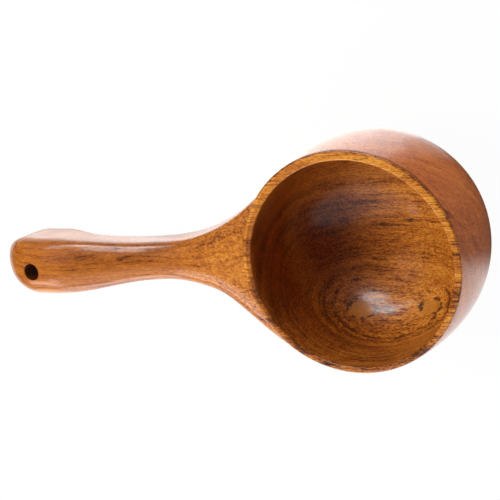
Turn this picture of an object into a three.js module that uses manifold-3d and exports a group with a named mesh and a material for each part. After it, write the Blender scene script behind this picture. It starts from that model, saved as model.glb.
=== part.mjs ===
// A round, deep wooden soup ladle with a short thick handle and a drilled hanging hole.
// Millimetres, +Z up. The origin is the centre of the bowl's flat base, and the handle runs along -X.
// The bowl is a turned cup, the handle is carved to sit on its wall, and a dowel holds the glued joint.

import * as THREE from 'three';
import { mergeVertices } from 'three/addons/utils/BufferGeometryUtils.js';
import Module from 'manifold-3d';

// Bowl
const RIM_RADIUS = 53.4;
const RIM_WALL = 3.8;
const RIM_ROUNDING = 0.8;
const BELLY_RADIUS = 57;
const BELLY_DROP = 34;
const BELLY_WALL = 6.5;
const BOWL_HEIGHT = 80;
const BASE_RADIUS = 38;
const FLOOR_THICKNESS = 16;
const HOLLOW_SHIFT_X = 0.4;
const HOLLOW_SHIFT_Y = -0.8;

// Handle
const NECK_STEP = 0.5;
const NECK_FILLET = 93;
const UNDER_FILLET = 32;
const WAIST_WIDTH = 22;
const WAIST_THICKNESS = 20;
const HEEL_WIDTH = 33.5;
const HEEL_THICKNESS = 31.5;
const HEEL_RISE = 17;
const HANDLE_LENGTH = 138;
const HEEL_SETBACK = 27.5;
const END_ROUNDING = 20;
const TIP_OFFSET = 2.8;
const TIP_LIFT = 1.6;
const FLANK_FULLNESS = 6;
const FLANK_DEPTH = 20;
const FLANK_START = 75;
const FLANK_FULLEST = 45;
const FLANK_END = 20;
const FULLNESS_TOP = 12;
const FULLNESS_BOTTOM = 36;
const HOLE_DIAMETER = 9;
const HOLE_SETBACK = 22;
const HOLE_OFFSET = 1.6;

// Joint between the two
const GLUE_GAP = 0.3;
const SADDLE_DEPTH = 0.4;
const DOWEL_DIAMETER = 8;
const DOWEL_LENGTH = 24;
const DOWEL_SEAT = 3.5;

// How finely the round surfaces are divided
const BOWL_SEGMENTS = 64;
const CURVE_DIVISIONS = 5;
const HANDLE_SIDES = 40;
const HANDLE_RINGS = 56;
const DRILL_SEGMENTS = 24;

// How square the handle's section and its end are: 2 is an ellipse, and more is squarer.
// The crest is the grip's upper edge on the +Y side and the flank is the side under it. The shoulder is the
// neck's upper edge on the -Y side, and the keel is the neck's underside.
const GRIP_SQUARENESS = 2.6;
const CREST_SQUARENESS = 2;
const FLANK_SQUARENESS = 9;
const NECK_SQUARENESS = 6;
const SHOULDER_SQUARENESS = 3.5;
const KEEL_SQUARENESS = 1.8;
const END_SQUARENESS = 2;

// The grip's top is so many times wider than the section before its +Y flank is pressed flat, and the
// crispness says how tightly the crest between them turns. The flank is set in by a share of the half width,
// and the tip is fuller by a share on that side.
const CREST_SPREAD = 1.2;
const CREST_CRISPNESS = 16;
const FLANK_INSET = 0.095;
const TIP_FULLNESS = 0.12;

// How late the grip thickens on its way to the heel: 1 goes with its width, and more is later.
const THICKENING_DELAY = 4;

// Levels and places that follow from the sizes above
const bellyLevel = BOWL_HEIGHT - BELLY_DROP;
const upperWallLevel = BOWL_HEIGHT - BELLY_DROP / 2;
const rimEdge = BOWL_HEIGHT - RIM_ROUNDING;
const neckTop = BOWL_HEIGHT - NECK_STEP;
const dowelLevel = neckTop - WAIST_THICKNESS / 2;
const tipX = -(BELLY_RADIUS + HANDLE_LENGTH);
const heelX = tipX + HEEL_SETBACK;
const holeX = tipX + HOLE_SETBACK;
const underNeckX = -(BELLY_RADIUS + UNDER_FILLET);
const neckCentreY = WAIST_WIDTH / 2 + NECK_FILLET;
const waistX = -Math.sqrt((BELLY_RADIUS + NECK_FILLET) ** 2 - neckCentreY ** 2);
const neckStartX = waistX * BELLY_RADIUS / (BELLY_RADIUS + NECK_FILLET);

const wasm = await Module();
wasm.setup();

// Joins the vertices that a geometry repeats along its seams and at its poles.
function welded(geometry) {
  geometry.deleteAttribute('normal');
  geometry.deleteAttribute('uv');
  return mergeVertices(geometry, 1e-4);
}

// Turns a closed three.js geometry into a solid that can be joined and cut.
function toSolid(geometry) {
  const merged = welded(geometry);
  const index = merged.index.array;
  const triVerts = [];
  for (let i = 0; i < index.length; i += 3) {
    const [a, b, c] = index.slice(i, i + 3);
    if (a !== b && b !== c && c !== a) triVerts.push(a, b, c);
  }
  return new wasm.Manifold(new wasm.Mesh({
    numProp: 3,
    vertProperties: new Float32Array(merged.attributes.position.array),
    triVerts: new Uint32Array(triVerts),
  }));
}

// Turns a solid back into a three.js geometry.
function toGeometry(solid) {
  const mesh = solid.getMesh();
  const geometry = new THREE.BufferGeometry();
  geometry.setAttribute('position', new THREE.BufferAttribute(mesh.vertProperties, mesh.numProp));
  geometry.setIndex(new THREE.BufferAttribute(mesh.triVerts, 1));
  geometry.computeVertexNormals();
  return geometry;
}

// Spins a profile drawn as radius against height into a solid round the Z axis.
function turned(path) {
  const geometry = new THREE.LatheGeometry(path.getPoints(CURVE_DIVISIONS), BOWL_SEGMENTS);
  return toSolid(geometry.rotateX(Math.PI / 2));
}

// The outside of the bowl from its axis under the base up to the rim's edge, moved out by a gap.
function outsideProfile(gap) {
  const belly = BELLY_RADIUS + gap;
  const base = BASE_RADIUS + gap;
  const drop = bellyLevel / Math.sqrt(1 - (base / belly) ** 2);
  const baseAngle = -Math.acos(base / belly);
  const path = new THREE.Path();
  path.moveTo(0, 0);
  path.lineTo(base, 0);
  path.absellipse(0, bellyLevel, belly, drop, baseAngle, 0, false);
  path.quadraticCurveTo(belly, upperWallLevel, RIM_RADIUS + gap, rimEdge);
  return path;
}

// The bowl's outside radius at a height: an ellipse below the belly, and a slow arc in to the rim above it.
function wallRadius(height) {
  if (height < bellyLevel) {
    const drop = bellyLevel / Math.sqrt(1 - (BASE_RADIUS / BELLY_RADIUS) ** 2);
    return BELLY_RADIUS * Math.sqrt(1 - ((bellyLevel - Math.max(height, 0)) / drop) ** 2);
  }
  return BELLY_RADIUS - (BELLY_RADIUS - RIM_RADIUS) * ((height - bellyLevel) / BELLY_DROP) ** 2;
}

// The bowl before it is hollowed: its outside and the rim's rounded outer edge.
function blankProfile() {
  const path = outsideProfile(0);
  path.quadraticCurveTo(RIM_RADIUS, BOWL_HEIGHT, RIM_RADIUS - RIM_ROUNDING, BOWL_HEIGHT);
  path.lineTo(0, BOWL_HEIGHT);
  return path;
}

// The hollow from its floor up to the rim's rounded inner edge, and on past the rim.
function hollowProfile() {
  const inside = RIM_RADIUS - RIM_WALL;
  const insideBelly = BELLY_RADIUS - BELLY_WALL;
  const path = new THREE.Path();
  path.moveTo(0, FLOOR_THICKNESS);
  path.absellipse(0, bellyLevel, insideBelly, bellyLevel - FLOOR_THICKNESS, -Math.PI / 2, 0, false);
  path.quadraticCurveTo(insideBelly, upperWallLevel, inside, rimEdge);
  path.quadraticCurveTo(inside, BOWL_HEIGHT, inside + RIM_ROUNDING, BOWL_HEIGHT);
  path.lineTo(inside + RIM_ROUNDING, BOWL_HEIGHT + NECK_STEP);
  path.lineTo(0, BOWL_HEIGHT + NECK_STEP);
  return path;
}

// The room that the bowl takes up, with the glue gap round it, to cut the handle's saddle with.
function bowlEnvelope() {
  const path = outsideProfile(GLUE_GAP);
  path.lineTo(RIM_RADIUS + GLUE_GAP, BOWL_HEIGHT + NECK_STEP);
  path.lineTo(0, BOWL_HEIGHT + NECK_STEP);
  return turned(path);
}

// A share that runs smoothly from 0 where the neck ends to 1 at the heel.
function towardsHeel(x, neckEnd) {
  return THREE.MathUtils.smoothstep(-x, -neckEnd, -heelX);
}

// Half the handle's width at a place and a height: an arc that leaves the bowl's wall without a crease,
// then a swell from waist to heel.
function halfWidth(x, height) {
  const wall = wallRadius(height) - SADDLE_DEPTH;
  const narrowestX = -Math.sqrt((wall + NECK_FILLET) ** 2 - neckCentreY ** 2);
  const touchingX = narrowestX * wall / (wall + NECK_FILLET);
  if (x > touchingX) return Math.sqrt(wall ** 2 - x ** 2);
  if (x > narrowestX) return neckCentreY - Math.sqrt(NECK_FILLET ** 2 - (x - narrowestX) ** 2);
  return THREE.MathUtils.lerp(WAIST_WIDTH, HEEL_WIDTH, towardsHeel(x, waistX)) / 2;
}

// How far the underside sweeps down to the bowl's wall, from its place and its distance to the side.
function underSweep(x, aside) {
  const endX = -wallRadius(neckTop - WAIST_THICKNESS - UNDER_FILLET);
  const along = (Math.min(-Math.hypot(x, aside), endX) - underNeckX) / (endX - underNeckX);
  return UNDER_FILLET * (1 - Math.sqrt(1 - Math.max(along, 0) ** 2));
}

// A share that runs smoothly from 0 at the waist to 1 where the neck leaves the bowl.
function towardsBowl(x) {
  return THREE.MathUtils.smoothstep(x, waistX, neckStartX);
}

// The grip's top is round, and its flank on the +Y side is flat.
// The neck's flat top runs out square to the rim, and its underside is a rounder keel than the grip.
function squareness(x, upper, crestSide) {
  const crestGrip = upper ? CREST_SQUARENESS : FLANK_SQUARENESS;
  const neckEdge = crestSide ? NECK_SQUARENESS : SHOULDER_SQUARENESS;
  return THREE.MathUtils.lerp(
    crestSide ? crestGrip : GRIP_SQUARENESS,
    upper ? neckEdge : KEEL_SQUARENESS,
    towardsBowl(x),
  );
}

// Draws a value that goes past 1 back to 1, with a soft corner.
function softLimit(value) {
  return value / (1 + value ** CREST_CRISPNESS) ** (1 / CREST_CRISPNESS);
}

// Presses the round top flat where it reaches past the +Y flank.
function pressedFlat(x, across) {
  const spread = THREE.MathUtils.lerp(CREST_SPREAD, 1, towardsBowl(x));
  return softLimit(across * spread) / softLimit(spread);
}

// How wide the +Y side is as a share of the half width.
function crestSideWidth(x, nearTip) {
  return 1 - FLANK_INSET * (1 - towardsBowl(x)) + TIP_FULLNESS * nearTip;
}

// How much the neck's -Y flank is fuller where it runs along the bowl's wall, which fades out with depth.
function flankFullness(x, height) {
  const rising = THREE.MathUtils.smoothstep(x, -FLANK_START, -FLANK_FULLEST);
  const falling = THREE.MathUtils.smoothstep(x, -FLANK_FULLEST, -FLANK_END);
  const high = THREE.MathUtils.smoothstep(height, neckTop - FULLNESS_BOTTOM, neckTop - FULLNESS_TOP);
  return FLANK_FULLNESS * rising * (1 - falling) * high;
}

// The share of the full section that is left at a distance into the rounded end: 1 before it, 0 at the tip.
function endGirth(distance) {
  return (1 - distance ** END_SQUARENESS) ** (1 / END_SQUARENESS);
}

// The carved handle before it is fitted to the bowl: a ball drawn out along X.
// It starts well inside the bowl, where the saddle cut takes the rest away.
function handleBlank() {
  const startX = neckStartX / 2;
  const geometry = welded(new THREE.SphereGeometry(1, HANDLE_SIDES, HANDLE_RINGS));
  const position = geometry.attributes.position;
  for (let i = 0; i < position.count; i += 1) {
    const alongBall = position.getY(i);
    const x = THREE.MathUtils.mapLinear(alongBall, -1, 1, tipX, startX);
    const side = new THREE.Vector2(position.getX(i), position.getZ(i)).normalize();
    const upper = side.y < 0;
    const power = 2 / squareness(x, upper, side.x > 0);
    const nearTip = Math.max(0, 1 - (x - tipX) / END_ROUNDING);
    let across = Math.sign(side.x) * Math.abs(side.x) ** power;
    if (side.x > 0) across = (upper ? pressedFlat(x, across) : across) * crestSideWidth(x, nearTip);
    const upward = -Math.sign(side.y) * Math.abs(side.y) ** power;
    const girth = alongBall < 1 ? endGirth(nearTip) : 0;
    const thickening = towardsHeel(x, waistX) ** THICKENING_DELAY;
    const half = THREE.MathUtils.lerp(WAIST_THICKNESS, HEEL_THICKNESS, thickening) / 2;
    const middle = neckTop + HEEL_RISE * towardsHeel(x, underNeckX) - half + TIP_LIFT * nearTip ** 2;
    const reach = upper ? half : half + underSweep(x, halfWidth(x, middle) * across);
    const z = middle + reach * upward * girth;
    const y = TIP_OFFSET * nearTip ** 2 + halfWidth(x, z) * across * girth;
    const fuller = flankFullness(x, z) * THREE.MathUtils.clamp(-y / FLANK_DEPTH, 0, 1);
    position.setXYZ(i, x, y - fuller, z);
  }
  return toSolid(geometry);
}

// A round bar along Z between two heights.
function uprightBar(diameter, low, high, x, y) {
  const geometry = new THREE.CylinderGeometry(diameter / 2, diameter / 2, high - low, DRILL_SEGMENTS);
  return geometry.rotateX(Math.PI / 2).translate(x, y, (low + high) / 2);
}

// A round bar along X at the dowel's level, from one place to another further out.
function levelBar(diameter, fromX, toX) {
  const geometry = new THREE.CylinderGeometry(diameter / 2, diameter / 2, fromX - toX, DRILL_SEGMENTS);
  return geometry.rotateZ(Math.PI / 2).translate((fromX + toX) / 2, 0, dowelLevel);
}

const dowelInnerX = -(wallRadius(dowelLevel) - DOWEL_SEAT);
const dowelOuterX = dowelInnerX - DOWEL_LENGTH;
const dowelHole = toSolid(levelBar(
  DOWEL_DIAMETER + 2 * GLUE_GAP,
  dowelInnerX + GLUE_GAP,
  dowelOuterX - GLUE_GAP,
));

const wood = new THREE.MeshStandardMaterial({ color: 0xb87432, roughness: 0.35, metalness: 0 });
const dowelWood = new THREE.MeshStandardMaterial({ color: 0xc9a36b, roughness: 0.7, metalness: 0 });

function named(name, geometry, material) {
  const mesh = new THREE.Mesh(geometry, material);
  mesh.name = name;
  return mesh;
}

// The hollow is cut by hand and a little off the middle, so the rim isn't equally wide all round.
function makeBowl() {
  const hollow = turned(hollowProfile()).translate([HOLLOW_SHIFT_X, HOLLOW_SHIFT_Y, 0]);
  const shaped = turned(blankProfile()).subtract(hollow).subtract(dowelHole);
  return named('bowl', toGeometry(shaped), wood);
}

function makeHandle() {
  const above = neckTop + HEEL_RISE + HEEL_THICKNESS;
  const hangingHole = toSolid(uprightBar(HOLE_DIAMETER, 0, above, holeX, -HOLE_OFFSET));
  const shaped = handleBlank().subtract(bowlEnvelope()).subtract(dowelHole).subtract(hangingHole);
  return named('handle', toGeometry(shaped), wood);
}

function makeDowel() {
  return named('neck_dowel', levelBar(DOWEL_DIAMETER, dowelInnerX, dowelOuterX), dowelWood);
}

const ladle = new THREE.Group();
ladle.add(makeBowl(), makeHandle(), makeDowel());

export default ladle;
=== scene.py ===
# %% [markdown]
# # A round wooden soup ladle
# The ladle is a deep turned bowl with a thick flat rim, and a short carved handle that swells to a
# heel with a hanging hole. Both are one golden brown hardwood under clear gloss lacquer.
# This lesson loads the measured model as a fixed frame, models the two visible pieces over it in
# metres, and gives them one wood whose grain runs through both.

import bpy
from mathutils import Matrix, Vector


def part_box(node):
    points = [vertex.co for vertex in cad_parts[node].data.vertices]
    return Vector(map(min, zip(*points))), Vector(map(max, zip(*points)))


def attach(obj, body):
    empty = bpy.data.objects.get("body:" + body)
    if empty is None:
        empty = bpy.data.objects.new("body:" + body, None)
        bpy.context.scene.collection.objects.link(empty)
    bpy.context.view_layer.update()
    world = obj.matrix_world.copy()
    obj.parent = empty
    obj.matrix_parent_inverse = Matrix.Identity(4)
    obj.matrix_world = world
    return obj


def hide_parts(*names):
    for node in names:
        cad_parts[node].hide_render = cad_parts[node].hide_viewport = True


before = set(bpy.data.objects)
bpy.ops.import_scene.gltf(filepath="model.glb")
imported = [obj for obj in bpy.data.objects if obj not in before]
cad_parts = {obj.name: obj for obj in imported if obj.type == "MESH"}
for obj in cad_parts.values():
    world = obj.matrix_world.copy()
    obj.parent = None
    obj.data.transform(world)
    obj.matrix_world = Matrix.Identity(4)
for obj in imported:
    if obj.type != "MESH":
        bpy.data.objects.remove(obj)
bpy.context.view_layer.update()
print("frame nodes:", sorted(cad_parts))

# %% [markdown]
# ## Helpers
# Sizes are easiest to think of in millimetres, while Blender's unit here is the metre, so one
# constant turns one into the other. The two easing helpers are the same ones that the measured
# model was shaped with.

# %% Helpers
import math

import bmesh
import bpy
from mathutils import Matrix, Vector

MM = 0.001
MERGE_DISTANCE = 0.001 * MM


def blend_between(low, high, share):
    """A value that is a share of the way from low to high."""
    return low + (high - low) * share


def ease(value, low, high):
    """A share that runs smoothly from 0 at low to 1 at high."""
    share = min(max((value - low) / (high - low), 0), 1)
    return share * share * (3 - 2 * share)


def finished_piece(name, shape):
    """Turns a bmesh into an object at the origin, with smooth faces that point outwards."""
    bmesh.ops.recalc_face_normals(shape, faces=shape.faces)
    mesh = bpy.data.meshes.new(name)
    shape.to_mesh(mesh)
    shape.free()
    mesh.shade_smooth()
    piece = bpy.data.objects.new(name, mesh)
    bpy.context.scene.collection.objects.link(piece)
    return piece


print("one millimetre is", MM, "m")

# %% [markdown]
# ## The bowl's sizes
# The bowl was turned on a lathe, so a profile of radius against height is all that it needs. The
# widest ring and the height come from the frame, and the rest repeats the measured model's driving
# sizes. Only the base's rounded edge is new.

# %% Bowl sizes
_, bowl_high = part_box("bowl")
BELLY_RADIUS = bowl_high.y
BOWL_HEIGHT = bowl_high.z
RIM_RADIUS = 53.4 * MM
RIM_WALL = 3.8 * MM
BELLY_DROP = 34 * MM
BELLY_WALL = 6.5 * MM
BASE_RADIUS = 38 * MM
FLOOR_THICKNESS = 16 * MM
RIM_ROUNDING = 0.8 * MM
BASE_ROUNDING = 1.0 * MM
HOLLOW_SHIFT = Vector((0.4, -0.8, 0)) * MM

belly_level = BOWL_HEIGHT - BELLY_DROP
outside_drop = belly_level / math.sqrt(1 - (BASE_RADIUS / BELLY_RADIUS) ** 2)
print(f"bowl {2 * BELLY_RADIUS / MM:.0f} mm across and {BOWL_HEIGHT / MM:.0f} mm high")


def wall_radius(height):
    """The outside radius at a height: an ellipse below the belly, a slow arc in to the rim above."""
    if height < belly_level:
        return BELLY_RADIUS * math.sqrt(1 - ((belly_level - max(height, 0)) / outside_drop) ** 2)
    return BELLY_RADIUS - (BELLY_RADIUS - RIM_RADIUS) * ((height - belly_level) / BELLY_DROP) ** 2


# %% [markdown]
# ## Arcs
# The bowl's profile is a chain of arcs. They could be typed in as a long list of points, but an
# operator draws them better: spinning a single vertex about a centre leaves a chain of edges on the
# arc. An ellipse is such an arc, squashed along Z afterwards.

# %% Arcs from a spun vertex


def spun_arc(shape, start, centre, angle, steps):
    """Draws an arc from a vertex by spinning it in the XZ plane, and gives its vertices in order."""
    made = [start]
    for _ in range(steps):
        turn = bmesh.ops.spin(
            shape,
            geom=[made[-1]],
            cent=centre,
            axis=(0, 1, 0),
            angle=angle / steps,
            steps=1,
            use_duplicate=False,
        )
        ends = [part for part in turn["geom_last"] if isinstance(part, bmesh.types.BMVert)]
        made.append(ends[0])
    return made


def squash_about_belly(shape, verts, factor):
    """Turns a circular arc into an elliptical one by scaling it along Z about the belly's level."""
    about_belly = Matrix.Translation((0, 0, -belly_level))
    bmesh.ops.scale(shape, vec=(1, 1, factor), space=about_belly, verts=verts)


def sagging_arc(half_chord, sag):
    """The radius and the angle of the circle that falls away by a sag over a distance."""
    radius = (half_chord**2 + sag**2) / (2 * sag)
    return radius, math.asin(half_chord / radius)


wall_arc, _ = sagging_arc(BELLY_DROP, BELLY_RADIUS - RIM_RADIUS)
print(f"the wall above the belly is an arc of radius {wall_arc / MM:.0f} mm")

# %% [markdown]
# ## The bowl's profile
# Base, outside, rim and inside make one chain, drawn from the base's edge up and over the rim to the
# bottom of the hollow. The wall is thickest low down, because that is where a turner leaves wood for
# strength.

# %% Draw the profile
LONG_ARC_STEPS = 28
SHORT_ARC_STEPS = 14


def bowl_profile(shape):
    """Draws half the profile as a chain of edges: base, outside, rim and inside."""
    belly_centre = (0, 0, belly_level)
    base_angle = math.acos(BASE_RADIUS / BELLY_RADIUS)
    base_drop = BELLY_RADIUS * math.sin(base_angle)
    base_edge = shape.verts.new((BASE_RADIUS, 0, belly_level - base_drop))
    outside = spun_arc(shape, base_edge, belly_centre, -base_angle, LONG_ARC_STEPS)
    squash_about_belly(shape, outside, outside_drop / BELLY_RADIUS)
    base_middle = shape.verts.new((0, 0, 0))
    shape.edges.new((base_middle, base_edge))

    upper_radius, upper_angle = sagging_arc(BELLY_DROP, BELLY_RADIUS - RIM_RADIUS)
    upper_centre = (BELLY_RADIUS - upper_radius, 0, belly_level)
    rim_outer = spun_arc(shape, outside[-1], upper_centre, -upper_angle, SHORT_ARC_STEPS)[-1]

    inside_belly = BELLY_RADIUS - BELLY_WALL
    rim_inner = shape.verts.new((RIM_RADIUS - RIM_WALL, 0, BOWL_HEIGHT))
    shape.edges.new((rim_outer, rim_inner))
    inner_radius, inner_angle = sagging_arc(BELLY_DROP, inside_belly - (RIM_RADIUS - RIM_WALL))
    inner_centre = (inside_belly - inner_radius, 0, belly_level)
    upper_inside = spun_arc(shape, rim_inner, inner_centre, inner_angle, SHORT_ARC_STEPS)
    hollow = spun_arc(shape, upper_inside[-1], belly_centre, math.pi / 2, LONG_ARC_STEPS)
    squash_about_belly(shape, hollow, (belly_level - FLOOR_THICKNESS) / inside_belly)
    print("profile points:", len(shape.verts))


# %% [markdown]
# ## Turning the bowl
# The chain is spun once round the Z axis, as the wood was on the lathe, and a bevel rounds the rim
# and the base as sandpaper does. The hollow of the real bowl isn't quite in the middle, which shows
# in the rim's width, so the hollow's points are moved sideways at the end.

# %% Spin a chain round
BOWL_STEPS = 192


def spin_round(shape):
    """Spins the chain of edges once round the Z axis into a closed shape."""
    bmesh.ops.spin(
        shape,
        geom=shape.verts[:] + shape.edges[:],
        cent=(0, 0, 0),
        axis=(0, 0, 1),
        angle=2 * math.pi,
        steps=BOWL_STEPS,
        use_merge=True,
    )
    bmesh.ops.remove_doubles(shape, verts=shape.verts, dist=MERGE_DISTANCE)


# %% Round the edges and move the hollow
ROUNDING_STEPS = 6
ROUND_PROFILE = 0.5
RING_TOLERANCE = 0.01 * MM


def round_off_ring(shape, radius, height, rounding):
    """Bevels the ring of edges at a radius and a height."""

    def on_ring(place):
        off_level = abs(place.z - height)
        off_radius = abs(place.xy.length - radius)
        return off_level < RING_TOLERANCE and off_radius < RING_TOLERANCE

    ring = [edge for edge in shape.edges if all(on_ring(vert.co) for vert in edge.verts)]
    bmesh.ops.bevel(
        shape,
        geom=ring,
        offset=rounding,
        offset_type="OFFSET",
        affect="EDGES",
        segments=ROUNDING_STEPS,
        profile=ROUND_PROFILE,
        material=-1,
    )
    print(f"rounded {len(ring)} edges at radius {radius / MM:.1f} mm")


def shift_hollow(shape):
    """Moves the hollow a little off the bowl's axis, which makes the rim wider on one side."""

    def in_hollow(place):
        inside = place.xy.length < wall_radius(place.z) - RIM_WALL / 2
        return inside and place.z > FLOOR_THICKNESS / 2

    hollow = [vert for vert in shape.verts if in_hollow(vert.co)]
    bmesh.ops.translate(shape, vec=HOLLOW_SHIFT, verts=hollow)
    print("hollow points moved:", len(hollow))


# %% Make the bowl


def turned_bowl():
    """Spins the profile into the bowl and rounds the edges of its rim and base."""
    shape = bmesh.new()
    bowl_profile(shape)
    spin_round(shape)
    bmesh.ops.recalc_face_normals(shape, faces=shape.faces)
    round_off_ring(shape, RIM_RADIUS, BOWL_HEIGHT, RIM_ROUNDING)
    round_off_ring(shape, RIM_RADIUS - RIM_WALL, BOWL_HEIGHT, RIM_ROUNDING)
    round_off_ring(shape, BASE_RADIUS, 0, BASE_ROUNDING)
    shift_hollow(shape)
    return finished_piece("turned_bowl", shape)


bowl = turned_bowl()
print("bowl faces:", len(bowl.data.polygons))

# %% [markdown]
# ## The handle's sizes
# The handle is carved: a waist behind the neck, then a swell to a heel whose top rises above the rim,
# and a rounded end with a hole drilled near it. Its neck flares out to run into the bowl's wall.

# %% Handle sizes
handle_low, handle_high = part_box("handle")
TIP_X = handle_low.x
HEEL_TOP = handle_high.z
NECK_STEP = 0.5 * MM
NECK_FILLET = 93 * MM
UNDER_FILLET = 32 * MM
WAIST_WIDTH = 22 * MM
WAIST_THICKNESS = 20 * MM
HEEL_WIDTH = 33.5 * MM
HEEL_THICKNESS = 31.5 * MM
HEEL_SETBACK = 27.5 * MM
END_ROUNDING = 20 * MM
TIP_OFFSET = 2.8 * MM
TIP_LIFT = 1.6 * MM
FLANK_FULLNESS = 6 * MM
FLANK_DEPTH = 20 * MM
FLANK_START = -75 * MM
FLANK_FULLEST = -45 * MM
FLANK_END = -20 * MM
FULLNESS_TOP = 12 * MM
FULLNESS_BOTTOM = 36 * MM

neck_top = BOWL_HEIGHT - NECK_STEP
heel_rise = HEEL_TOP - neck_top
heel_x = TIP_X + HEEL_SETBACK
under_neck_x = -(BELLY_RADIUS + UNDER_FILLET)
waist_x = -math.sqrt((BELLY_RADIUS + NECK_FILLET) ** 2 - (WAIST_WIDTH / 2 + NECK_FILLET) ** 2)
neck_start_x = waist_x * BELLY_RADIUS / (BELLY_RADIUS + NECK_FILLET)
print(f"handle from x {TIP_X / MM:.0f} mm to the bowl, waist at x {waist_x / MM:.1f} mm")

# %% [markdown]
# ## Carving the handle
# A box model with a subdivision surface would do for a handle, but its section changes in a way that
# a few formulas say better: how wide, how thick and how square it is at each place along X. Towards
# the bowl the width follows an arc that leaves the wall without a crease, and the underside sweeps
# down in a fillet round the wall.

# %% Width and depth of the handle along its length
SADDLE_DEPTH = 0.4 * MM


def flare_half_width(x, height):
    """Half the width: an arc that leaves the bowl's wall without a crease, then the swell."""
    wall = wall_radius(height) - SADDLE_DEPTH
    centre_y = WAIST_WIDTH / 2 + NECK_FILLET
    narrowest_x = -math.sqrt((wall + NECK_FILLET) ** 2 - centre_y**2)
    touching_x = narrowest_x * wall / (wall + NECK_FILLET)
    if x > touching_x:
        return math.sqrt(max(wall**2 - x**2, 0))
    if x > narrowest_x:
        return centre_y - math.sqrt(NECK_FILLET**2 - (x - narrowest_x) ** 2)
    swell = ease(-x, -waist_x, -heel_x)
    return blend_between(WAIST_WIDTH, HEEL_WIDTH, swell) / 2


def flank_fullness(x, height):
    """How much fuller the neck's -Y flank is along the bowl's wall, which fades out with depth."""
    high = ease(height, neck_top - FULLNESS_BOTTOM, neck_top - FULLNESS_TOP)
    along = ease(x, FLANK_START, FLANK_FULLEST) * (1 - ease(x, FLANK_FULLEST, FLANK_END))
    return FLANK_FULLNESS * along * high


def under_sweep(x, aside):
    """How far the underside sweeps down to the wall, from its place and its distance to the side."""
    end_x = -wall_radius(neck_top - WAIST_THICKNESS - UNDER_FILLET)
    along = (min(-math.hypot(x, aside), end_x) - under_neck_x) / (end_x - under_neck_x)
    return UNDER_FILLET * (1 - math.sqrt(1 - max(along, 0) ** 2))


print(f"half width at the waist {flare_half_width(waist_x, neck_top) / MM:.1f} mm")

# %% [markdown]
# ## The handle's section
# A section is a superellipse, an oval whose exponent says how square it is, and each quarter of it
# has an exponent of its own. The grip's top is round and its +Y flank is flat: the top is drawn wider
# than the flank and pressed back to it, which leaves a soft crest between the two.

# %% Squareness of the section
GRIP_SQUARENESS = 2.6
CREST_SQUARENESS = 2
FLANK_SQUARENESS = 9
NECK_SQUARENESS = 6
SHOULDER_SQUARENESS = 3.5
KEEL_SQUARENESS = 1.8
CREST_SPREAD = 1.2
CREST_CRISPNESS = 16


def squareness(x, upper, crest_side):
    """How square a quarter of the section is: 2 is an ellipse, and more is squarer."""
    towards_bowl = ease(x, waist_x, neck_start_x)
    grip = GRIP_SQUARENESS
    if crest_side:
        grip = CREST_SQUARENESS if upper else FLANK_SQUARENESS
    neck_edge = NECK_SQUARENESS if crest_side else SHOULDER_SQUARENESS
    return blend_between(grip, neck_edge if upper else KEEL_SQUARENESS, towards_bowl)


def pressed_flat(x, across):
    """Draws what reaches past the far flank in to it, which leaves it flat under a soft crest."""
    spread = blend_between(CREST_SPREAD, 1, ease(x, waist_x, neck_start_x))
    whole = spread / (1 + spread**CREST_CRISPNESS) ** (1 / CREST_CRISPNESS)
    reach = across * spread
    return reach / (1 + reach**CREST_CRISPNESS) ** (1 / CREST_CRISPNESS) / whole


# %% Points of the section
FLANK_INSET = 0.095
TIP_FULLNESS = 0.12
THICKENING_DELAY = 4


def section_point(x, angle):
    """The place of one vertex of the ring at x, which lies at an angle round the section."""
    side, rise = math.cos(angle), math.sin(angle)
    near_tip = min(max(0, 1 - (x - TIP_X) / END_ROUNDING), 1)
    power = 2 / squareness(x, rise > 0, side > 0)
    across = math.copysign(abs(side) ** power, side)
    upward = math.copysign(abs(rise) ** power, rise)
    if side > 0:
        across = pressed_flat(x, across) if rise > 0 else across
        across *= 1 - FLANK_INSET * (1 - ease(x, waist_x, neck_start_x)) + TIP_FULLNESS * near_tip
    girth = math.sqrt(1 - near_tip**2)
    thickening = ease(-x, -waist_x, -heel_x) ** THICKENING_DELAY
    half = blend_between(WAIST_THICKNESS, HEEL_THICKNESS, thickening) / 2
    climb = heel_rise * ease(-x, -under_neck_x, -heel_x)
    middle = neck_top + climb - half + TIP_LIFT * near_tip**2
    reach = half if rise > 0 else half + under_sweep(x, flare_half_width(x, middle) * across)
    z = middle + reach * upward * girth
    y = TIP_OFFSET * near_tip**2 + flare_half_width(x, z) * across * girth
    fuller = flank_fullness(x, z) * min(max(-y / FLANK_DEPTH, 0), 1)
    return Vector((x, y - fuller, z))


print(f"heel top at z {section_point(heel_x, math.pi / 2).z / MM:.1f} mm")

# %% [markdown]
# ## Extruding the handle
# One ring of vertices starts inside the bowl. It is extruded again and again along X, and each new
# ring is moved to the section of its place. The rings get closer together towards the tip, where the
# shape turns in.

# %% Extrude the rings
HANDLE_SIDES = 96
HANDLE_RINGS = 180
HANDLE_START_X = -18 * MM


def place_ring(ring, x):
    """Moves a ring of vertices, in order round the section, to the handle's section at x."""
    for index, vert in enumerate(ring):
        vert.co = section_point(x, 2 * math.pi * index / len(ring))


def drawn_out_of(vert, fresh):
    """The new vertex that an extrusion drew out of a vertex."""
    others = (edge.other_vert(vert) for edge in vert.link_edges)
    return next(other for other in others if other in fresh)


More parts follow.
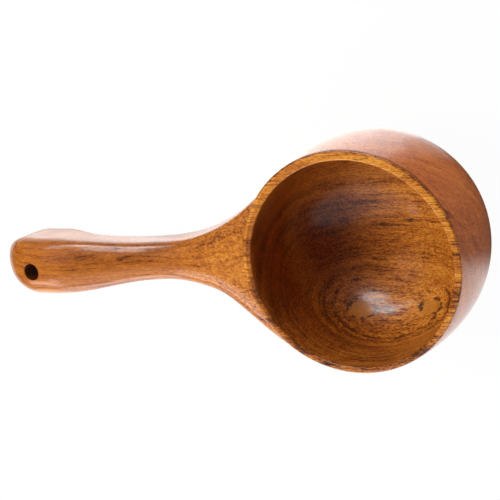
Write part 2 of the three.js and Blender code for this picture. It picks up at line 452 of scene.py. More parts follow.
def handle_blank():
    """Extrudes a circle along X, from inside the bowl to the tip, and closes both ends."""
    shape = bmesh.new()
    start_radius = HEEL_WIDTH / 2
    circle = bmesh.ops.create_circle(
        shape, cap_ends=True, segments=HANDLE_SIDES, radius=start_radius
    )
    ring = circle["verts"]
    place_ring(ring, HANDLE_START_X)
    for step in range(1, HANDLE_RINGS + 1):
        quarter_turn = math.pi / 2 * step / HANDLE_RINGS
        x = blend_between(HANDLE_START_X, TIP_X, math.sin(quarter_turn))
        edges = [shape.edges.get((vert, ring[index - 1])) for index, vert in enumerate(ring)]
        made = bmesh.ops.extrude_edge_only(shape, edges=edges)["geom"]
        fresh = {part for part in made if isinstance(part, bmesh.types.BMVert)}
        ring = [drawn_out_of(vert, fresh) for vert in ring]
        place_ring(ring, x)
    bmesh.ops.remove_doubles(shape, verts=shape.verts, dist=MERGE_DISTANCE)
    return finished_piece("carved_handle", shape)


handle = handle_blank()
print("handle blank faces:", len(handle.data.polygons))

# %% [markdown]
# ## Fitting and drilling
# The handle is coped to the bowl's wall, both are drilled for the hidden dowel, and the hanging hole
# goes through the heel. Holes could be modelled by hand, but a Boolean with a cutter that is thrown
# away afterwards is what a saw and a drill do.

# %% Cut with a throwaway cutter


def cut_away(piece, cutter):
    """Subtracts a cutter from a piece for good, and removes the cutter."""
    print(f"cutting {cutter.name} out of {piece.name}")
    cut = piece.modifiers.new("cut", "BOOLEAN")
    cut.operation = "DIFFERENCE"
    cut.solver = "EXACT"
    cut.object = cutter
    before = piece.data
    shaped = piece.evaluated_get(bpy.context.evaluated_depsgraph_get())
    piece.data = bpy.data.meshes.new_from_object(shaped)
    piece.modifiers.clear()
    bpy.data.meshes.remove(before)
    bpy.data.meshes.remove(cutter.data)
    piece.data.name = piece.name


# %% [markdown]
# ## The cutters
# The coping cutter is the bowl's outer wall, spun like the bowl. The dowel's drill is a plain bar,
# placed by the frame's dowel. The hanging hole's cutter opens out a little at both faces, which breaks
# the hole's edge as sandpaper does.

# %% Cutters for the saddle and the dowel
COPING_CLEARANCE = 0.02 * MM
COPING_LEVELS = 60
BORE_CLEARANCE = 0.3 * MM
DRILL_STEPS = 48


def bowl_room():
    """The room inside the bowl's outer wall, to cope the handle with."""
    shape = bmesh.new()
    levels = [BOWL_HEIGHT * step / COPING_LEVELS for step in range(COPING_LEVELS + 1)]
    wall = [shape.verts.new((wall_radius(level) - COPING_CLEARANCE, 0, level)) for level in levels]
    top = shape.verts.new((RIM_RADIUS, 0, 2 * BOWL_HEIGHT))
    chain = [shape.verts.new((0, 0, 0)), *wall, top, shape.verts.new((0, 0, 2 * BOWL_HEIGHT))]
    for start, end in zip(chain, chain[1:]):
        shape.edges.new((start, end))
    spin_round(shape)
    return finished_piece("bowl_room", shape)


def dowel_drill():
    """A bar as wide as the dowel's bore, which the frame's dowel gives the place of."""
    low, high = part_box("neck_dowel")
    radius = (high.z - low.z) / 2 + BORE_CLEARANCE
    shape = bmesh.new()
    bmesh.ops.create_cone(
        shape,
        cap_ends=True,
        segments=DRILL_STEPS,
        radius1=radius,
        radius2=radius,
        depth=high.x - low.x + 2 * BORE_CLEARANCE,
        matrix=Matrix.Translation((low + high) / 2) @ Matrix.Rotation(math.pi / 2, 4, "Y"),
    )
    return finished_piece("dowel_drill", shape)


# %% Cutter for the hanging hole
HOLE_DIAMETER = 9 * MM
HOLE_SETBACK = 22 * MM
HOLE_OFFSET = 1.6 * MM
EDGE_BREAK = 0.8 * MM
EDGE_STEPS = 6
hole_x = TIP_X + HOLE_SETBACK


def hanging_drill():
    """A bar through the heel whose wall rolls outwards at the handle's top and its underside."""
    radius = HOLE_DIAMETER / 2
    roll_x = radius + EDGE_BREAK
    top = section_point(hole_x, math.pi / 2).z - EDGE_BREAK
    bottom = section_point(hole_x, -math.pi / 2).z + EDGE_BREAK
    shape = bmesh.new()
    wall_top = shape.verts.new((radius, 0, top))
    wall_bottom = shape.verts.new((radius, 0, bottom))
    shape.edges.new((wall_bottom, wall_top))
    upper = spun_arc(shape, wall_top, (roll_x, 0, top), math.pi / 2, EDGE_STEPS)[-1]
    lower = spun_arc(shape, wall_bottom, (roll_x, 0, bottom), -math.pi / 2, EDGE_STEPS)[-1]
    for edge, beyond in ((upper, HEEL_THICKNESS), (lower, -HEEL_THICKNESS)):
        outer = shape.verts.new((roll_x, 0, edge.co.z + beyond))
        axis = shape.verts.new((0, 0, edge.co.z + beyond))
        shape.edges.new((edge, outer))
        shape.edges.new((outer, axis))
    spin_round(shape)
    bmesh.ops.translate(shape, vec=(hole_x, -HOLE_OFFSET, 0), verts=shape.verts)
    return finished_piece("hanging_drill", shape)


print(f"hanging hole at x {hole_x / MM:.0f} mm")

# %% Cope and drill
SHARP_ANGLE = math.radians(35)

cut_away(handle, bowl_room())
cut_away(handle, dowel_drill())
cut_away(handle, hanging_drill())
cut_away(bowl, dowel_drill())
for piece in (bowl, handle):
    piece.data.shade_smooth()
    piece.data.set_sharp_from_angle(angle=SHARP_ANGLE)
    print(piece.name, "faces:", len(piece.data.polygons))

# %% [markdown]
# ## Shader maths
# A wood is a handful of sums on a few noises. Writing each Math node out takes four lines, so a small
# class wraps an output socket: Python's operators on it add the nodes, and one method adds any other
# node.

# %% Socket class


class Value:
    """An output socket of a node tree, on which Python's operators add Math nodes."""

    def __init__(self, tree, socket=None):
        self.tree = tree
        self.socket = socket

    def node(self, kind, settings, sockets, output=0):
        """Adds a node with its settings, and gives its sockets numbers, colours or other values."""
        made = self.tree.nodes.new(kind)
        for name, setting in settings.items():
            if name == "stops":
                ramp = made.color_ramp
                while len(ramp.elements) < len(setting):
                    ramp.elements.new(1)
                for element, (place, shade) in zip(ramp.elements, setting):
                    element.position = place
                    element.color = shade
            else:
                setattr(made, name, setting)
        for name, given in sockets.items():
            if isinstance(given, Value):
                self.tree.links.new(given.socket, made.inputs[name])
            else:
                made.inputs[name].default_value = given
        return Value(self.tree, made.outputs[output]) if made.outputs else None

    def beside(self, output):
        """Another output of the same node."""
        return Value(self.tree, self.socket.node.outputs[output])

    def math(self, operation, first, second=0.0):
        """Adds a Math node."""
        return self.node("ShaderNodeMath", {"operation": operation}, {0: first, 1: second})

    def __add__(self, other):
        return self.math("ADD", self, other)

    __radd__ = __add__

    def __sub__(self, other):
        return self.math("SUBTRACT", self, other)

    def __rsub__(self, other):
        return self.math("SUBTRACT", other, self)

    def __mul__(self, other):
        return self.math("MULTIPLY", self, other)

    def __truediv__(self, other):
        return self.math("DIVIDE", self, other)

    def __pow__(self, other):
        return self.math("POWER", self, other)

    def between(self, low, high):
        """A share that runs smoothly from 0 at low to 1 at high."""
        return self.node(
            "ShaderNodeMapRange",
            {"interpolation_type": "SMOOTHSTEP"},
            {"Value": self, "From Min": low, "From Max": high},
        )

    def mixed(self, first, second):
        """A colour that goes from the first to the second as this value goes from 0 to 1."""
        given = {0: self, 6: first, 7: second}
        return self.node("ShaderNodeMix", {"data_type": "RGBA"}, given, output=2)


# %% Materials and colours


def new_material(name):
    """An empty node material and a value to start its tree from."""
    material = bpy.data.materials.new(name)
    material.use_nodes = True
    material.node_tree.nodes.clear()
    return material, Value(material.node_tree)


def colour(red, green, blue):
    """A colour in linear light as a socket takes it."""
    return (red, green, blue, 1)


# %% [markdown]
# ## Grain
# Wood looks drawn out along its grain, so most of its marks are noises that are stretched along X.
# They read Object coordinates, which makes them solid: the rim and the hollow show the same figure, as
# cuts through one block do. An image of wood would be quicker, but it would stretch over the hollow
# and show a seam at the rim.

# %% Grain helpers
RING_NOISE_ROUGHNESS = 0.6


def millimetres(start):
    """The place of a point of the piece in millimetres."""
    metres = start.node("ShaderNodeTexCoord", {}, {}, "Object")
    scale = {0: metres, "Scale": 1 / MM}
    return start.node("ShaderNodeVectorMath", {"operation": "SCALE"}, scale)


def stretched_noise(place, stretch, size, detail=2.0, roughness=0.5):
    """A noise on a place in millimetres, of a size across the grain and drawn out along it."""
    scaled = place.node(
        "ShaderNodeVectorMath",
        {"operation": "MULTIPLY"},
        {0: place, 1: (1 / (size * stretch), 1 / size, 1 / size)},
    )
    return place.node(
        "ShaderNodeTexNoise",
        {"noise_dimensions": "3D"},
        {"Vector": scaled, "Scale": 1.0, "Detail": detail, "Roughness": roughness},
    )


def ring_noise(radius, spacing, detail):
    """A noise of the ring's radius alone, so that each ring has one value all round."""
    return radius.node(
        "ShaderNodeTexNoise",
        {"noise_dimensions": "1D"},
        {"W": radius / spacing, "Scale": 1.0, "Detail": detail, "Roughness": RING_NOISE_ROUGHNESS},
    )


# %% [markdown]
# ## Growth rings
# Growth rings are cylinders about the middle of the tree, here a line along X below the bowl's -Y
# side, so the hollow cuts them into long ovals. The distance from that line, pushed about by noises,
# says which ring a point is in. On the outer wall away from the handle they look nearly flat, so there
# a height in slanted layers says it instead.

# %% Growth rings
RING_AXIS_Y = -64
RING_AXIS_Z = 0
RING_WANDER = 8
FINE_WANDER = 1.3
LAYER_WANDER = 9


def ring_radius(grain):
    """The distance from the middle of the growth rings, which wanders along the grain."""
    across = grain.node("ShaderNodeSeparateXYZ", {}, {0: grain}, "Y")
    wander_y = stretched_noise(grain, stretch=3.2, size=26) - 0.5
    wander_z = stretched_noise(grain, stretch=2.6, size=21) - 0.5
    ring_y = across - RING_AXIS_Y + wander_y * RING_WANDER
    ring_z = across.beside("Z") - RING_AXIS_Z + wander_z * RING_WANDER
    fine_wander = stretched_noise(grain, stretch=5, size=1.8) - 0.5
    return (ring_y * ring_y + ring_z * ring_z) ** 0.5 + fine_wander * FINE_WANDER


def ring_layers(grain):
    """The height in nearly flat growth rings that lie one on the other along the grain's Z."""
    level = grain.node("ShaderNodeSeparateXYZ", {}, {0: grain}, "Z")
    wander = stretched_noise(grain, stretch=3.0, size=24) - 0.5
    return level + wander * LAYER_WANDER


print(f"middle of the growth rings at y {RING_AXIS_Y} mm, z {RING_AXIS_Z} mm")

# %% [markdown]
# ## The wood's colour
# A Wave texture would give even rings, but real ones aren't evenly spaced, so a noise of the ring's
# radius alone says how dark each one is. Fibres, flecks, pores, streaks and broad bands add up to one
# tone, and a colour ramp turns the tone into the wood's browns. Short dark dashes lie over that, where
# long pores are open.

# %% Tones of the wood
TONES = (
    (0.0, colour(0.085, 0.020, 0.004)),
    (0.25, colour(0.29, 0.076, 0.010)),
    (0.5, colour(0.47, 0.142, 0.016)),
    (0.75, colour(0.60, 0.215, 0.024)),
    (1.0, colour(0.73, 0.300, 0.042)),
)
DARKEST = TONES[0][1]
INK = colour(0.016, 0.008, 0.006)
print("tones of the wood:", len(TONES))

# %% Wood pattern
RING_SPACING = 1.3
BAND_SPACING = 6.5
BAND_SHARE = 0.5
BROAD_SHARE = 0.6
STREAK_SHARE = 0.55
FIBRE_SHARE = 1.1
WOOD_ROUGHNESS = 0.42


def wood_pattern(
    grain, ring, lightness, contrast, flecks, ring_strength, pore_strength, dash_strength
):
    """The colour, roughness, height and gloss of the wood, from the place in the grain and rings."""
    lines = ring_noise(ring, RING_SPACING, detail=2.0)
    bands = ring_noise(ring, BAND_SPACING, detail=1.0) - 0.5
    broken = stretched_noise(grain, stretch=5, size=3.0).between(0.38, 0.62)
    growth = (1 - lines.between(0.30, 0.50)) * (0.25 + broken * 0.75)

    fibre = stretched_noise(grain, stretch=11, size=0.85, detail=3.0, roughness=0.65) - 0.5
    fleck = stretched_noise(grain, stretch=3.0, size=0.55, roughness=0.65) - 0.5
    pores = stretched_noise(grain, stretch=3.2, size=0.5, detail=1.0).between(0.58, 0.72)
    streak = stretched_noise(grain, stretch=9, size=2.6) - 0.5
    broad = stretched_noise(grain, stretch=3.5, size=17) - 0.5

    figure = bands * BAND_SHARE + broad * BROAD_SHARE + streak * STREAK_SHARE + fibre * FIBRE_SHARE
    light = lightness + figure * contrast + fleck * flecks
    tone = light - pores * pore_strength - growth * ring_strength
    body = tone.node("ShaderNodeValToRGB", {"stops": TONES}, {0: tone})

    zone = stretched_noise(grain, stretch=2.2, size=12, detail=1.0).between(0.42, 0.62)
    open_pores = stretched_noise(grain, stretch=9, size=0.55, detail=1.0).between(0.62, 0.70)
    dashes = open_pores * (0.3 + zone * 0.7)
    dashed = (dashes * dash_strength).mixed(body, DARKEST)

    roughness = WOOD_ROUGHNESS + fibre * 0.2
    height = fibre * 0.6 + broad * 1.5 - dashes * 0.5
    gloss = 1 - pores * 0.45 - growth * 0.3 - dashes * 0.5
    return dashed, roughness, height, gloss


# %% [markdown]
# ## Lacquer
# The ladle is finished with clear gloss lacquer. The Principled shader's coat is made for that: a
# smooth clear layer over the wood's own roughness. Lacquer sinks into pores and dark rings, so the
# coat is weaker there.

# %% Lacquer over the wood
WOOD_IOR = 1.45
COAT_IOR = 1.5
COAT_ROUGHNESS = 0.16
RELIEF_STRENGTH = 0.12
RELIEF_DEPTH = 0.2 * MM


def lacquered(material, start, shade, roughness, height, gloss):
    """Puts the wood's colour under clear gloss lacquer, which is thinner over pores and hard rings."""
    bumps = {"Height": height, "Strength": RELIEF_STRENGTH, "Distance": RELIEF_DEPTH}
    relief = start.node("ShaderNodeBump", {}, bumps)
    shader = start.node(
        "ShaderNodeBsdfPrincipled",
        {},
        {
            "Base Color": shade,
            "Roughness": roughness,
            "Normal": relief,
            "IOR": WOOD_IOR,
            "Coat Weight": gloss,
            "Coat Roughness": COAT_ROUGHNESS,
            "Coat IOR": COAT_IOR,
        },
    )
    start.node("ShaderNodeOutputMaterial", {}, {"Surface": shader})
    print(material.name, "nodes:", len(material.node_tree.nodes))
    return material


# %% [markdown]
# ## Marks in the hollow
# On the hollow's -Y wall the wood has two pale golden patches with broken black edges, and black
# mineral streaks run along the grain there, on the floor and on the rim. Each is an ellipsoid in the
# wood, drawn out along X, whose edge a noise makes ragged. A drawing on the surface would do as well,
# but a solid mark also shows right on the cut rim.

# %% Places of the marks
# Each mark has its middle, half its length along X and half its width, in millimetres.
PALE_GOLD = colour(0.50, 0.185, 0.020)
GOLD_PATCHES = {
    "left": ((-15, -40, 30), 7, 5),
    "right": ((23, -37, 30), 7.5, 4.2),
}
BLACK_STREAKS = {
    "long_start": ((-3, 2.4, 16.0), 13, 1.2),
    "long_end": ((12, 4.8, 16.9), 11, 1.1),
    "short": ((-6, -16, 17.9), 7, 1.0),
    "squiggle": ((-8.5, -40, 28), 0.9, 4.0),
    "above_left": ((-16, -35, 27), 6, 0.6),
    "above_right": ((23, -33, 28), 5, 0.8),
    "wall": ((2, -50, 42), 19, 0.9),
    "rim_left": ((-13, -50, 80), 6, 0.7),
    "rim_right": ((23, -46, 80), 4.5, 0.7),
}
print("golden patches:", len(GOLD_PATCHES), "black streaks:", len(BLACK_STREAKS))

# %% Marks in the wood
RAGGED_EDGE = 1.4
PATCH_RAGGEDNESS = 0.5
STREAK_RAGGEDNESS = 1.1
EDGE_BLACK = 0.85


def mark_distance(place, ragged, centre, half_length, half_width):
    """How far a point is from a mark's middle, which is 1 on the edge of the mark."""
    scale = (1 / half_length, 1 / half_width, 1 / half_width)
    offset = place.node("ShaderNodeVectorMath", {"operation": "SUBTRACT"}, {0: place, 1: centre})
    scaled = place.node("ShaderNodeVectorMath", {"operation": "MULTIPLY"}, {0: offset, 1: scale})
    length = place.node("ShaderNodeVectorMath", {"operation": "LENGTH"}, {0: scaled}, "Value")
    return length + ragged


def marked(shade, place):
    """Puts the golden patches and the black streaks into the wood's colour."""
    ragged = (stretched_noise(place, stretch=1.5, size=2.2) - 0.5) * RAGGED_EDGE
    breaks = stretched_noise(place, stretch=1.5, size=3.0).between(0.46, 0.58)
    fibre = stretched_noise(place, stretch=9, size=0.7)
    drawn_out = (stretched_noise(place, stretch=9, size=0.9) - 0.5) * STREAK_RAGGEDNESS
    for mark in GOLD_PATCHES.values():
        distance = mark_distance(place, ragged * PATCH_RAGGEDNESS, *mark)
        inside = 1 - distance.between(0.92, 1.02)
        edge = distance.between(0.80, 0.94) * (1 - distance.between(1.06, 1.2)) * breaks
        shade = (inside * (0.95 - fibre * 0.5)).mixed(shade, PALE_GOLD)
        shade = (edge * EDGE_BLACK).mixed(shade, INK)
    for mark in BLACK_STREAKS.values():
        distance = mark_distance(place, drawn_out, *mark)
        shade = ((1 - distance.between(0.5, 1.0)) * (0.5 + breaks * 0.4)).mixed(shade, INK)
    return shade


# %% [markdown]
# ## Zones of the bowl
# One bowl shows its wood in several states: redder and with slanted grain on the outer wall away
# from the handle. Painted light lies on it too: painted shade in the hollow towards the handle,
# where the rim's shadow falls, which is partly the darker end grain of that wall; painted light on
# the rim's +Y side; and a painted dark reflection along the rim's outer edge on that side. Painted
# attributes could mark such zones, but the bowl is a simple shape, so sums on a point's place do it
# without a seam.

# %% Borders of the zones
# Each border runs from where a zone starts to where it is whole, in millimetres along one axis.
# Painted shade in the hollow on the handle's side, where the rim's shadow falls, partly the darker end
# grain there.
HANDLE_SIDE_SHADE_X = (18, -34)
NEAR_WALL_Y = (-22, -36)
FAR_WALL_Y = (10, 35)
HOLLOW_FLOOR_Z = (8, 14)
RIM_Z = (78.8, 79.4)
# Painted light: the rim is lighter towards its +Y side, where the light falls on it.
RIM_FAR_LIGHT_Y = (-45, 50)
RIM_ENDS_X_SQUARED = (250, 900)
# A painted dark reflection along the rim's outer rounding on its +Y side.
RIM_REFLECTION_RADIUS = (52.5, 52.9)
RIM_REFLECTION_Z = (78.0, 78.6)
RIM_REFLECTION_Y = (0, 30)
TURNED_X = (-22, 10)
WITHIN_WALL = (-0.4, 0.4)
WALL_MIDDLE_AT_BASE = 39
WALL_MIDDLE_SLOPE = 0.3
WALL_MIDDLE_AT_RIM = 51.6
WALL_SHARE = 0.5

# %% Zones of the bowl


def bowl_zones(place):
    """Where on the bowl a point is, as shares from 0 to 1."""
    along = place.node("ShaderNodeSeparateXYZ", {}, {0: place}, "X")
    across = along.beside("Y")
    up = along.beside("Z")
    radius = (along * along + across * across) ** 0.5
    rising = WALL_MIDDLE_AT_BASE + up * WALL_MIDDLE_SLOPE
    wall_middle = along.math("MINIMUM", rising, WALL_MIDDLE_AT_RIM)
    within = (wall_middle - radius).between(*WITHIN_WALL)
    hollow = within * up.between(*HOLLOW_FLOOR_Z)
    rim = up.between(*RIM_Z)
    outside = (1 - within) * (1 - rim)
    near = across.between(*NEAR_WALL_Y)
    far = across.between(*FAR_WALL_Y)
    middle = 1 - near * WALL_SHARE - far * WALL_SHARE
    # Painted dark reflection on the rim's outer rounding.
    dark_edge_reflection = radius.between(*RIM_REFLECTION_RADIUS) * up.between(*RIM_REFLECTION_Z)
    return {
        # Painted shade on the handle's side of the hollow, partly darker end grain.
        "handle_side_shade": along.between(*HANDLE_SIDE_SHADE_X) * middle * hollow,
        "near_wall": near * hollow,
        "far_wall": far * hollow,
        "rim": rim,
        # Painted light on the rim's +Y side.
        "rim_far_light": rim * across.between(*RIM_FAR_LIGHT_Y),
        "rim_ends": rim * (along * along).between(*RIM_ENDS_X_SQUARED),
        # The rim's outer edge on the +Y side is darkened as a painted dark reflection.
        "rim_edge_reflection": dark_edge_reflection * across.between(*RIM_REFLECTION_Y),
        "outside": outside,
        "turned": outside * along.between(*TURNED_X),
        "across": across,
    }


# %% [markdown]
# ## The bowl's wood
# The zones steer the one pattern: they make it lighter or darker, and its rings and pores stronger or
# weaker. The rim cuts across the fibres at its two ends, so short dark ticks lie there, and fainter
# ones on the rest of it.

# %% How the zones steer the wood
BOWL_STEERING = {
    # Lightness: darker on the handle side as painted shade, lighter on the rim's +Y side as painted
    # light, darker at the rim's outer edge as a painted dark reflection.
    "lightness": (0.6, {"handle_side_shade": -0.34, "rim_far_light": 0.36, "rim": -0.13, "rim_edge_reflection": -0.4}),
    "contrast": (1.2, {"outside": -0.4, "handle_side_shade": -0.5, "far_wall": -0.35, "near_wall": 0.3}),
    "flecks": (1.9, {"outside": -0.6, "handle_side_shade": -0.8, "near_wall": 0.3}),
    "ring_strength": (0.36, {"near_wall": 0.35, "outside": -0.16, "handle_side_shade": -0.2}),
    "pore_strength": (0.26, {"outside": -0.14, "near_wall": 0.3}),
    "dash_strength": (0.7, {"near_wall": 0.25}),
}


def steered(zones, level, changes):
    """A level that each of the named zones changes by an amount."""
    for zone, change in changes.items():
        level = zones[zone] * change + level
    return level


print("steered values:", ", ".join(BOWL_STEERING))

# %% Grain outside and ticks on the rim
TURNED_GRAIN = ((0.566, -0.566, -0.6), (0.707, 0.707, 0), (0.424, -0.424, 0.8))
TICK_SPACING = 0.75
TICK_WANDER = 1.5
RIM_TICKS = 0.15
RIM_END_TICKS = 0.4


def turned_grain(place):
    """The place in wood whose grain slants down round the outside of the bowl."""
    along = {"operation": "DOT_PRODUCT"}
    parts = [
        place.node("ShaderNodeVectorMath", along, {0: place, 1: axis}, "Value")
        for axis in TURNED_GRAIN
    ]
    return place.node("ShaderNodeCombineXYZ", {}, dict(enumerate(parts)))


def rim_ticks(shade, place, zones):
    """Puts short dark ends of the grain across the rim, most of all at its two ends."""
    wander = stretched_noise(place, stretch=4, size=3.0, detail=1.0) - 0.5
    wandering = zones["across"] + wander * TICK_WANDER
    ticks = ring_noise(wandering, TICK_SPACING, detail=0.0).between(0.54, 0.70)
    strength = zones["rim"] * RIM_TICKS + zones["rim_ends"] * RIM_END_TICKS
    return (ticks * strength).mixed(shade, DARKEST)


# %% Wood of the bowl
RED_TINT = colour(1, 0.72, 0.6)


def bowl_wood():
    """The bowl's wood: rings that close into ovals, with painted shade and painted light in some
    zones.
    """
    material, start = new_material("bowl_wood")
    place = millimetres(start)
    zones = bowl_zones(place)
    turned = zones["turned"]
    slanted = turned_grain(place)
    either = {0: turned, 4: place, 5: slanted}
    grain = start.node("ShaderNodeMix", {"data_type": "VECTOR"}, either, 1)
    round_rings = ring_radius(place)
    ring = round_rings + (ring_layers(slanted) - round_rings) * turned
    steering = {name: steered(zones, *given) for name, given in BOWL_STEERING.items()}
    shade, roughness, height, gloss = wood_pattern(grain, ring, **steering)
    redder = {"data_type": "RGBA", "blend_type": "MULTIPLY"}
    shade = start.node("ShaderNodeMix", redder, {0: turned, 6: shade, 7: RED_TINT}, 2)
    shade = rim_ticks(marked(shade, place), place, zones)
    return lacquered(material, start, shade, roughness, height, gloss)


# %% [markdown]
# ## The handle's wood
# On the handle the grain follows the carved shape: it rises to the heel and fans out where the neck
# widens, so a point's place is bent the same way before the pattern reads it. The grip is darker than
# the bowl. The hole's wall is painted darkest, which is painted shade in the hole, and the grip is
# painted lighter on its -Y side, which is painted light where it turns down.

# %% Wood of the handle
GRIP_LIGHTNESS = 0.32
NECK_LIGHTER = 0.2
HEEL_LIGHTER = 0.08
# Painted light on the grip's -Y side, where it turns down.
NEAR_EDGE_PAINTED_LIGHT = 0.2
# Painted shade inside the hanging hole.
HOLE_PAINTED_SHADE = 0.35
NECK_FAN = 1.1
NECK_X = (-115, -65)
HEEL_X = (-140, -168)
NEAR_EDGE_Y = (-3, -12)
HOLE_WALL = (5.0, 4.5)


def handle_wood():
    """The handle's wood, whose grain rises to the heel and fans out at the neck."""
    material, start = new_material("handle_wood")
    place = millimetres(start)
    along = place.node("ShaderNodeSeparateXYZ", {}, {0: place}, "X")
    across = along.beside("Y")
    rise = along.between(under_neck_x / MM, heel_x / MM) * (heel_rise / MM)
    neck = along.between(waist_x / MM, -BELLY_RADIUS / MM)
    bent = {0: along, 1: across / (1 + neck * NECK_FAN), 2: along.beside("Z") - rise}
    grain = place.node("ShaderNodeCombineXYZ", {}, bent)
    from_hole = ((along - hole_x / MM) ** 2 + (across + HOLE_OFFSET / MM) ** 2) ** 0.5
    # Painted light: the grip is lighter on its -Y side.
    edge_painted_light = across.between(*NEAR_EDGE_Y) * (1 - neck)
    ends = along.between(*NECK_X) * NECK_LIGHTER + along.between(*HEEL_X) * HEEL_LIGHTER
    lightness = GRIP_LIGHTNESS + ends + edge_painted_light * NEAR_EDGE_PAINTED_LIGHT
    pattern = wood_pattern(
        grain,
        ring_radius(grain),
        # The hole's wall is darkened as painted shade.
        lightness=lightness - from_hole.between(*HOLE_WALL) * HOLE_PAINTED_SHADE,
        contrast=0.5,
        flecks=0.8 + neck * 0.8,
        ring_strength=0.24,
        pore_strength=0.1 + neck * 0.2,
        dash_strength=0.3,
    )
    return lacquered(material, start, *pattern)


# %% [markdown]
# ## The dowel
# The dowel is bare pale wood, hidden inside the joint. It stays the frame's own mesh, because nobody
# sees it: a finer one would only add faces.

# %% Bare dowel wood
DOWEL_PALE = colour(0.62, 0.41, 0.18)
DOWEL_DARK = colour(0.47, 0.28, 0.11)


def bare_dowel_wood():
    """Pale straight-grained wood without lacquer."""
    material, start = new_material("bare_dowel_wood")
    fibre = stretched_noise(millimetres(start), stretch=30, size=0.6, detail=3.0)
    shade = fibre.between(0.3, 0.7).mixed(DOWEL_PALE, DOWEL_DARK)
    bumps = {"Height": fibre, "Strength": 0.2, "Distance": 0.1 * MM}
    relief = start.node("ShaderNodeBump", {}, bumps)
    shader = start.node(
        "ShaderNodeBsdfPrincipled",
        {},
        {"Base Color": shade, "Roughness": 0.55 + fibre * 0.25, "Normal": relief},
    )
    start.node("ShaderNodeOutputMaterial", {}, {"Surface": shader})
    return material


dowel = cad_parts["neck_dowel"]
dowel.data.materials.clear()
dowel.data.materials.append(bare_dowel_wood())
print("dowel material:", dowel.data.materials[0].name)

# %% [markdown]
# ## Putting the pieces on the frame
# Nothing on the ladle moves, so both pieces ride on the one body. Each stands for the solid that it
# was modelled over.

# %% Ride on the frame
for piece, node, wood in ((bowl, "bowl", bowl_wood()), (handle, "handle", handle_wood())):
    piece.data.materials.clear()
    piece.data.materials.append(wood)
    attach(piece, "root")
    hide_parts(node)
    print(piece.name, "stands for", node)

# %% [markdown]
# ## Floor
# The ladle stands on a white sweep. Lamps that make a floor pure white would flood the ladle too, so
# the floor glows instead, but only to camera rays and in reflections, which leaves a soft share of the
# shadow. In reflections the bowl's shade on the floor is darker, because that is what keeps the wall
# brown on the side away from the handle.

# %% Floor paint
CAMERA_GLOW = 0.96
REFLECTED_GLOW = 0.9
WHITE = colour(1, 1, 1)
WHITE_PAINT = colour(0.9, 0.9, 0.9)
SHADE_GREY = colour(0.11, 0.11, 0.11)
SHADE_FROM_X = (5, 45)
SHADE_FROM_Y = (-40, -15)


def white_sweep_material():
    """White paint that glows to the camera and in reflections, but not in the bowl's shade there."""
    material, start = new_material("white_sweep")
    to_camera = start.node("ShaderNodeLightPath", {}, {}, "Is Camera Ray")
    glossy = to_camera.beside("Is Glossy Ray")
    reflected = start.math("MAXIMUM", glossy, to_camera.beside("Is Transmission Ray"))
    glow_share = start.math("MAXIMUM", to_camera * CAMERA_GLOW, reflected * REFLECTED_GLOW)
    paint = start.node("ShaderNodeBsdfDiffuse", {}, {"Color": WHITE_PAINT})
    glow = start.node("ShaderNodeEmission", {}, {"Color": WHITE, "Strength": 1.0})
    both = start.node("ShaderNodeMixShader", {}, {0: glow_share, 1: paint, 2: glow})
    along = start.node("ShaderNodeSeparateXYZ", {}, {0: millimetres(start)}, "X")
    shade_share = along.between(*SHADE_FROM_X) * along.beside("Y").between(*SHADE_FROM_Y)
    shade = start.node("ShaderNodeBsdfDiffuse", {}, {"Color": SHADE_GREY})
    either = {0: shade_share * reflected, 1: both, 2: shade}
    shaded = start.node("ShaderNodeMixShader", {}, either)
    start.node("ShaderNodeOutputMaterial", {}, {"Surface": shaded})
    material.cycles.emission_sampling = "NONE"
    return material


# %% Floor
FLOOR_RADIUS = 2.5
FLOOR_SIDES = 96


def white_sweep():
    """A round floor."""
    shape = bmesh.new()
    bmesh.ops.create_circle(shape, cap_ends=True, segments=FLOOR_SIDES, radius=FLOOR_RADIUS)
    floor = finished_piece("white_sweep", shape)
    floor.data.materials.append(white_sweep_material())
    return floor


floor = white_sweep()
print(f"floor {2 * FLOOR_RADIUS:.0f} m across")

# %% [markdown]
# ## Light
# A glossy thing needs two kinds of lamps. Some are there for its colour: a key high over the handle,
# which leaves the handle's side of the hollow in shadow, low fills from both sides, and a lamp above
# for the near wall. They don't show in reflections, as lamps behind crossed polarising film don't. The
# others are there for the lacquer: panels on the floor that lie as a white band on the handle's flank
# and the bowl's far wall, three small lamps for the spot in the hollow and the streak on the crest, a
# broad dim one that lies as a haze in the hollow, and three in front.

# %% Lamp helpers
PANEL_HEIGHT = 3


def lamp_panel(name, shape, place, towards, size, power):
    """A lamp of a shape and a size that shines in a direction, and that the camera doesn't see."""
    lamp = bpy.data.lights.new(name, "AREA")
    lamp.shape = shape
    lamp.size, lamp.size_y = size
    lamp.energy = power
    stand = bpy.data.objects.new(name, lamp)
    stand.location = place
    stand.rotation_euler = (-towards).to_track_quat("Z", "Y").to_euler()
    stand.visible_camera = False
    bpy.context.scene.collection.objects.link(stand)
    return stand


def soft_box(name, compass, lift, distance, size, power):
    """An oval lamp that points at the bowl's middle from a compass and a lift angle in degrees."""
    turn, rise = math.radians(compass), math.radians(lift)
    level = math.cos(rise)
    away = Vector((math.cos(turn) * level, math.sin(turn) * level, math.sin(rise)))
    place = Vector((0, 0, belly_level)) + away * distance
    return lamp_panel(name, "ELLIPSE", place, -away, size, power)


def floor_panel(name, x, y, brightness):
    """A panel that lies on the floor between two places along X and Y, and shines up."""
    place = Vector((sum(x) / 2, sum(y) / 2, PANEL_HEIGHT)) * MM
    size = ((x[1] - x[0]) * MM, (y[1] - y[0]) * MM)
    power = brightness * math.pi * size[0] * size[1]
    return lamp_panel(name, "RECTANGLE", place, Vector((0, 0, 1)), size, power)


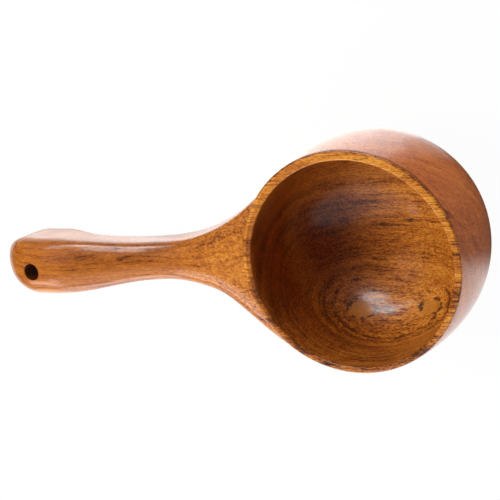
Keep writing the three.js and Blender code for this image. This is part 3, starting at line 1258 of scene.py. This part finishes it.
# %% Lamps for the lacquer's white band
floor_panel("heel_panel", x=(-265, -195), y=(40, 150), brightness=0.88)
floor_panel("grip_panel", x=(-195, -60), y=(28, 150), brightness=1.08)
floor_panel("wall_panel", x=(-60, -5), y=(40, 80), brightness=0.78)
floor_panel("wall_panel_beyond", x=(-60, -5), y=(80, 150), brightness=0.93)
floor_panel("corner_panel", x=(-5, 20), y=(50, 80), brightness=0.55)
floor_panel("corner_panel_beyond", x=(-5, 30), y=(80, 150), brightness=0.7)
floor_panel("corner_end", x=(20, 45), y=(45, 110), brightness=0.25)
print("floor panels:", len(bpy.data.lights))

# %% Lamps for the wood's colour
wood_lamps = (
    soft_box("key", compass=163, lift=58, distance=1.0, size=(0.45, 0.45), power=5.8),
    soft_box("far_fill", compass=45, lift=4, distance=0.9, size=(0.8, 0.1), power=3.2),
    soft_box("near_fill", compass=-95, lift=4, distance=0.9, size=(0.8, 0.1), power=4.5),
    soft_box("near_wall", compass=-112, lift=50, distance=1.0, size=(0.7, 0.4), power=3.6),
)
for stand in wood_lamps:
    stand.visible_glossy = False
print("lamps that don't show in reflections:", len(wood_lamps))

# %% Lamps for the other reflections
soft_box("spot", compass=107, lift=37, distance=0.9, size=(0.36, 0.2), power=1.27)
soft_box("spot_high", compass=99, lift=51, distance=0.9, size=(0.36, 0.22), power=1.1)
soft_box("spot_glow", compass=124, lift=34, distance=0.9, size=(0.5, 0.12), power=0.7)
soft_box("haze", compass=-85, lift=46, distance=1.0, size=(1.6, 0.8), power=1.5)
soft_box("front", compass=-108, lift=11, distance=0.9, size=(0.7, 0.36), power=1.9)
soft_box("front_high", compass=-138, lift=27, distance=0.9, size=(0.3, 0.2), power=0.5)
soft_box("neck_edge", compass=-141, lift=41, distance=0.9, size=(0.12, 0.14), power=0.14)
print("lamps:", len(bpy.data.lights))

# %% [markdown]
# ## World
# The world gives a faint even light. To the camera it is white, so that low views show no dark sky
# behind the floor.

# %% World
WORLD_LIGHT = 0.015


def white_world():
    """A world that is white to the camera and gives everything else a faint light."""
    world = bpy.data.worlds.new("studio")
    world.use_nodes = True
    world.node_tree.nodes.clear()
    start = Value(world.node_tree)
    to_camera = start.node("ShaderNodeLightPath", {}, {}, "Is Camera Ray")
    strength = to_camera * (1 - WORLD_LIGHT) + WORLD_LIGHT
    sky = start.node("ShaderNodeBackground", {}, {"Color": WHITE, "Strength": strength})
    start.node("ShaderNodeOutputWorld", {}, {"Surface": sky})
    return world


bpy.context.scene.world = white_world()
print("world:", bpy.context.scene.world.name)

# %% [markdown]
# ## Camera
# The camera is close, about 0.42 m from the rim, which gives the strong perspective. Its place and
# turn were fitted to the outline of the rim and the handle.

# %% Camera
CAMERA_PLACE = (157.2 * MM, 118.8 * MM, 456.5 * MM)
CAMERA_TURN = (-18.302, 26.593, -7.96)
CAMERA_LENS = 66.32
SENSOR_WIDTH = 36

lens = bpy.data.cameras.new("camera")
lens.lens = CAMERA_LENS
lens.sensor_width = SENSOR_WIDTH
camera = bpy.data.objects.new("camera", lens)
camera.location = CAMERA_PLACE
camera.rotation_euler = [math.radians(turn) for turn in CAMERA_TURN]
bpy.context.scene.collection.objects.link(camera)
bpy.context.scene.camera = camera
bpy.context.scene.view_settings.view_transform = "Standard"
rim_middle = Vector((0, 0, BOWL_HEIGHT))
print(f"camera {(camera.location - rim_middle).length:.2f} m from the rim's middle")
